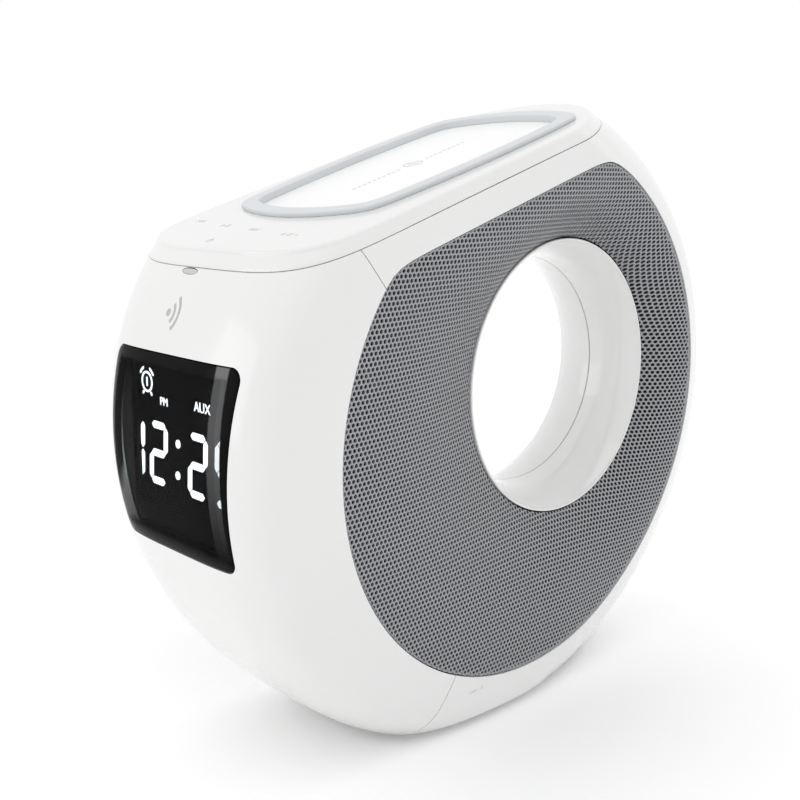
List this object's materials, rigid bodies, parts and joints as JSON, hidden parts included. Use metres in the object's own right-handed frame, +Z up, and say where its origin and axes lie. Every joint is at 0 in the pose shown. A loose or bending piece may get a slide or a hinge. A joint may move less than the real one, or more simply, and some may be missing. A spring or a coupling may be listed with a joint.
{
  "type": "clock radio",
  "caption": "Ring-shaped clock radio with a glossy casing, perforated side grilles round a through-hole, a front display window and a sloping phone charging pad.",
  "frame": {"origin": "on the floor under the middle of the body, at the bottom of the rubber feet", "axes": "+Z up; the display faces -Y; the hole runs along X"},
  "size_m": [0.0832, 0.2134, 0.1819],
  "materials": {
    "casing_white": "moulded gloss white",
    "liner_white": "moulded gloss white",
    "pad_white": "moulded gloss white",
    "window_black": "smoked, polished",
    "display_black": "matt black",
    "inner_black": "moulded matt black",
    "grille_steel": "perforated sheet, satin grey paint",
    "ring_rubber": "soft pale blue-grey",
    "black_rubber": "matt black",
    "circuit_board": "green solder mask",
    "coil_copper": "wound enamelled copper wire",
    "ferrite": "sintered, dull",
    "bright_steel": "plated",
    "cone_paper": "pressed paper"
  },
  "bodies": {
    "root": {"front_shell": "casing_white", "rear_shell": "casing_white", "top_cover": "casing_white", "base_plate": "casing_white", "display_window": "window_black", "display_panel": "display_black", "display_frame": "inner_black", "status_lens": "window_black", "charging_pad": "pad_white", "pad_ring": "ring_rubber", "charging_coil": "coil_copper", "ferrite_plate": "ferrite", "charging_board": "circuit_board", "touch_board": "circuit_board", "chassis": "inner_black", "main_board": "circuit_board", "backup_cell": "bright_steel", "socket_panel": "inner_black", "socket_board": "circuit_board", "dc_jack": "inner_black", "aux_jack": "inner_black", "usb_socket": "bright_steel", "grille_right": "grille_steel", "bore_liner_right": "liner_white", "baffle_right": "inner_black", "speaker_frame_right": "inner_black", "speaker_magnet_right": "bright_steel", "speaker_surround_right": "black_rubber", "grille_left": "grille_steel", "bore_liner_left": "liner_white", "baffle_left": "inner_black", "speaker_frame_left": "inner_black", "speaker_magnet_left": "bright_steel", "speaker_surround_left": "black_rubber", "base_screw_1": "bright_steel", "board_screw_1": "bright_steel", "foot_1": "black_rubber", "base_screw_2": "bright_steel", "board_screw_2": "bright_steel", "foot_2": "black_rubber", "base_screw_3": "bright_steel", "board_screw_3": "bright_steel", "foot_3": "black_rubber", "base_screw_4": "bright_steel", "board_screw_4": "bright_steel", "foot_4": "black_rubber"},
    "cone_right": {"speaker_cone_right": "cone_paper"},
    "cone_left": {"speaker_cone_left": "cone_paper"}
  },
  "joints": [
    {"name": "cone_right_travel", "type": "slide", "parent": "root", "child": "cone_right", "axis": [1, 0, 0], "range_m": [-0.0015, 0.0015], "stiffness_N_per_m": 2000},
    {"name": "cone_left_travel", "type": "slide", "parent": "root", "child": "cone_left", "axis": [-1, 0, 0], "range_m": [-0.0015, 0.0015], "stiffness_N_per_m": 2000}
  ]
}
